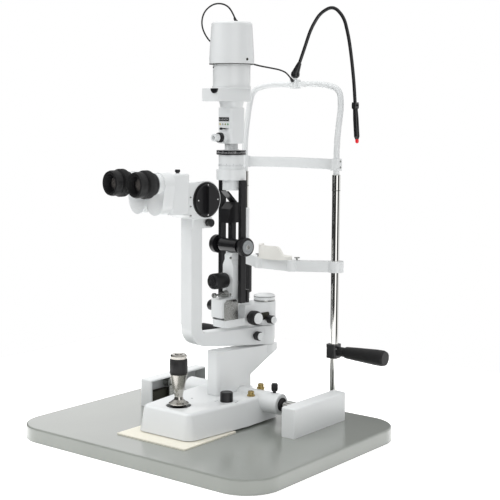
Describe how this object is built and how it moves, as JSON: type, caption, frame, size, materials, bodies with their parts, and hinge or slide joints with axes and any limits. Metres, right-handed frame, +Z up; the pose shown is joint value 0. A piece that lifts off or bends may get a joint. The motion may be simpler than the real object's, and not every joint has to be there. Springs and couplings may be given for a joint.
{
  "type": "slit lamp",
  "caption": "Slit lamp microscope with headrest, joystick base and tower illumination, standing on its own table top.",
  "frame": {"origin": "centre of the table top's underside", "axes": "+X to the examiner's right, +Y from the examiner to the patient, +Z up"},
  "size_m": [0.55, 0.496, 0.7844],
  "materials": {
    "white_enamel": "satin white enamel",
    "table_laminate": "satin silver-grey laminate with a rounded edge",
    "cream_plastic": "matt cream sheet",
    "column_chrome": "mirror chrome",
    "steel": "turned steel",
    "nickel": "satin nickel",
    "brass": "plated brass",
    "black_plastic": "matt black moulded plastic",
    "black_rubber": "soft black rubber",
    "black_metal": "black anodised metal",
    "lens_glass": "coated optical glass",
    "dark_steel": "oiled dark steel"
  },
  "bodies": {
    "stand": {"table_top": "table_laminate", "glide_pad": "cream_plastic", "rail_covers": "white_enamel", "racks": "dark_steel", "columns": "column_chrome", "column_feet": "white_enamel", "bow_tube": "white_enamel", "forehead_band": "white_enamel", "handle_clamps": "black_metal", "handle_grips": "black_rubber", "lift_collars": "white_enamel", "fixation_clamp": "white_enamel", "lamp_cable": "black_rubber"},
    "fixation_arm": {"gooseneck": "black_metal"},
    "fixation_light": {"fixation_lamp": "black_metal"},
    "chin_rest": {"chin_bar": "white_enamel", "chin_cup": "cream_plastic", "paper_pins": "steel"},
    "chin_screw": {"chin_lift_knob": "black_plastic"},
    "guides": {"rack_guides": "steel"},
    "axle": {"axle_shaft": "column_chrome", "axle_gears": "steel"},
    "base": {"base_casting": "white_enamel", "power_sockets": "brass"},
    "dimmer": {"dimmer_knob": "black_plastic"},
    "axle_lock": {"axle_lock_knob": "black_plastic"},
    "stick_gimbal": {"joystick_dome": "black_plastic"},
    "stick": {"joystick_stem": "nickel"},
    "stick_grip": {"joystick_grip": "black_rubber"},
    "stick_button": {"joystick_button": "nickel"},
    "pedestal": {"pedestal": "white_enamel", "pivot_shaft": "steel"},
    "microscope": {"microscope_arm": "white_enamel", "drum_housing": "white_enamel", "objective_lens": "lens_glass", "binocular_box": "white_enamel"},
    "head_lock": {"head_lock_knob": "black_plastic"},
    "microscope_lock": {"microscope_lock_knob": "black_plastic"},
    "drum": {"magnification_drum": "black_plastic"},
    "prism_left": {"prism_housing_left": "white_enamel"},
    "prism_right": {"prism_housing_right": "white_enamel"},
    "eyepiece_left": {"eyepiece_left": "black_rubber"},
    "eyepiece_right": {"eyepiece_right": "black_rubber"},
    "illumination": {"illumination_arm": "white_enamel", "tilt_cradle": "steel"},
    "arm_lock": {"arm_lock_knob": "black_plastic"},
    "hub_lock": {"hub_lock_knob": "black_plastic"},
    "tower": {"tower_casting": "white_enamel", "guide_bars": "black_metal", "mirror_block": "black_metal", "slit_housing": "white_enamel", "filter_box": "white_enamel", "lamp_housing": "white_enamel", "lamp_lid": "white_enamel"},
    "slit_ring": {"slit_ring": "black_metal"},
    "filter_lever": {"filter_lever": "black_metal"},
    "aperture": {"aperture_knob": "black_plastic"},
    "slit_width": {"slit_shaft": "black_plastic"},
    "centring": {"centring_knob": "black_plastic"},
    "tilt_knob": {"latch_lever": "black_plastic"}
  },
  "joints": [
    {"name": "base_depth", "type": "slide", "parent": "stand", "child": "guides", "axis": [0, 1, 0], "range_m": [-0.044, 0.025]},
    {"name": "axle_roll", "type": "hinge", "parent": "guides", "child": "axle", "pos_m": [0, 0.075, 0.062], "axis": [1, 0, 0], "range_deg": [-145, 255]},
    {"name": "base_cross", "type": "slide", "parent": "guides", "child": "base", "axis": [1, 0, 0], "range_m": [-0.042, 0.042]},
    {"name": "dimmer_turn", "type": "hinge", "parent": "base", "child": "dimmer", "pos_m": [0.047, -0.007, 0.08], "axis": [0, 0, 1], "range_deg": [0, 270]},
    {"name": "axle_lock_turn", "type": "hinge", "parent": "base", "child": "axle_lock", "pos_m": [0.092, 0.075, 0.085], "axis": [0, 0, 1], "range_deg": [0, 90]},
    {"name": "stick_fore_aft", "type": "hinge", "parent": "base", "child": "stick_gimbal", "pos_m": [0, -0.082, 0.058], "axis": [1, 0, 0], "range_deg": [-8, 8]},
    {"name": "stick_sideways", "type": "hinge", "parent": "stick_gimbal", "child": "stick", "pos_m": [0, -0.082, 0.058], "axis": [0, 1, 0], "range_deg": [-8, 8]},
    {"name": "grip_turn", "type": "hinge", "parent": "stick", "child": "stick_grip", "pos_m": [0, -0.082, 0.143], "axis": [0, 0, 1], "range_deg": [0, 900]},
    {"name": "button_press", "type": "slide", "parent": "stick", "child": "stick_button", "axis": [0, 0, -1], "range_m": [0, 0.0015], "stiffness_N_per_m": 400},
    {"name": "height", "type": "slide", "parent": "base", "child": "pedestal", "axis": [0, 0, 1], "range_m": [0, 0.03]},
    {"name": "microscope_swing", "type": "hinge", "parent": "pedestal", "child": "microscope", "pos_m": [0, 0.165, 0.165], "axis": [0, 0, 1], "range_deg": [-61, 79]},
    {"name": "illumination_swing", "type": "hinge", "parent": "pedestal", "child": "illumination", "pos_m": [0, 0.165, 0.2], "axis": [0, 0, 1], "range_deg": [-61, 79], "deforming": ["lamp_cable"]},
    {"name": "head_lock_turn", "type": "hinge", "parent": "microscope", "child": "head_lock", "pos_m": [-0.00528, 0.00384, 0.388], "axis": [0.9877, -0.1564, 0], "range_deg": [0, 180]},
    {"name": "microscope_lock_turn", "type": "hinge", "parent": "microscope", "child": "microscope_lock", "pos_m": [0.01365, 0.12335, 0.168], "axis": [0.9877, -0.1564, 0], "range_deg": [0, 180]},
    {"name": "magnification", "type": "hinge", "parent": "microscope", "child": "drum", "pos_m": [0.00241, -0.01155, 0.43], "axis": [0.9877, -0.1564, 0], "range_deg": [-72, 72]},
    {"name": "eye_spacing_left", "type": "hinge", "parent": "microscope", "child": "prism_left", "pos_m": [-0.06594, -0.09792, 0.43], "axis": [-0.1564, -0.9877, 0], "range_deg": [-9.2, 11.4]},
    {"name": "eye_spacing_right", "type": "hinge", "parent": "microscope", "child": "prism_right", "pos_m": [-0.01853, -0.10543, 0.43], "axis": [-0.1564, -0.9877, 0], "range_deg": [-11.4, 9.2]},
    {"name": "focus_left", "type": "hinge", "parent": "prism_left", "child": "eyepiece_left", "pos_m": [-0.08051, -0.12599, 0.462], "axis": [-0.1564, -0.9877, 0], "range_deg": [-90, 90]},
    {"name": "focus_right", "type": "hinge", "parent": "prism_right", "child": "eyepiece_right", "pos_m": [-0.01335, -0.13662, 0.462], "axis": [-0.1564, -0.9877, 0], "range_deg": [-90, 90]},
    {"name": "arm_lock_turn", "type": "hinge", "parent": "illumination", "child": "arm_lock", "pos_m": [0.01562, 0.1038, 0.206], "axis": [0.9877, -0.1564, 0], "range_deg": [0, 180]},
    {"name": "hub_lock_turn", "type": "hinge", "parent": "illumination", "child": "hub_lock", "pos_m": [0.02281, 0.14924, 0.197], "axis": [0.9877, -0.1564, 0], "range_deg": [0, 180]},
    {"name": "tower_tilt", "type": "hinge", "parent": "illumination", "child": "tower", "pos_m": [-0.01564, 0.06623, 0.226], "axis": [0.9877, -0.1564, 0], "range_deg": [0, 5]},
    {"name": "slit_rotation", "type": "hinge", "parent": "tower", "child": "slit_ring", "pos_m": [-0.01361, 0.07907, 0.511], "axis": [0, 0, 1], "range_deg": [-90, 90]},
    {"name": "filter_select", "type": "hinge", "parent": "tower", "child": "filter_lever", "pos_m": [-0.01528, 0.06212, 0.554], "axis": [-0.1564, -0.9877, 0], "range_deg": [-15, 15]},
    {"name": "aperture_select", "type": "hinge", "parent": "tower", "child": "aperture", "pos_m": [-0.0147, 0.07216, 0.538], "axis": [-0.1564, -0.9877, 0], "range_deg": [-150, 150]},
    {"name": "slit_width", "type": "hinge", "parent": "tower", "child": "slit_width", "pos_m": [-0.01345, 0.08006, 0.34], "axis": [0.9877, -0.1564, 0], "range_deg": [-90, 90]},
    {"name": "centring_turn", "type": "hinge", "parent": "tower", "child": "centring", "pos_m": [-0.01803, 0.07673, 0.276], "axis": [-0.1564, -0.9877, 0], "range_deg": [-180, 180]},
    {"name": "tilt_knob_turn", "type": "hinge", "parent": "illumination", "child": "tilt_knob", "pos_m": [-0.04527, 0.07092, 0.226], "axis": [-0.9877, 0.1564, 0], "range_deg": [0, 90]},
    {"name": "chin_height", "type": "slide", "parent": "stand", "child": "chin_rest", "axis": [0, 0, 1], "range_m": [0, 0.06]},
    {"name": "chin_knob_turn", "type": "hinge", "parent": "stand", "child": "chin_screw", "pos_m": [-0.1087, 0.242, 0.25], "axis": [0, 0, 1], "range_deg": [0, 1440]},
    {"name": "fixation_swivel", "type": "hinge", "parent": "stand", "child": "fixation_arm", "pos_m": [0, 0.259, 0.657], "axis": [0, 0, 1], "range_deg": [-60, 60]},
    {"name": "fixation_lamp_nod", "type": "hinge", "parent": "fixation_arm", "child": "fixation_light", "pos_m": [0.143, 0.25, 0.594], "axis": [0, 1, 0], "range_deg": [-20, 20]}
  ],
  "couplings": [
    {"joint": "axle_roll", "follows": "base_depth", "rad_per_m": -100},
    {"joint": "grip_turn", "follows": "height", "rad_per_m": 523.6},
    {"joint": "chin_knob_turn", "follows": "chin_height", "rad_per_m": 418.88},
    {"joint": "eye_spacing_right", "follows": "eye_spacing_left", "ratio": -1}
  ]
}
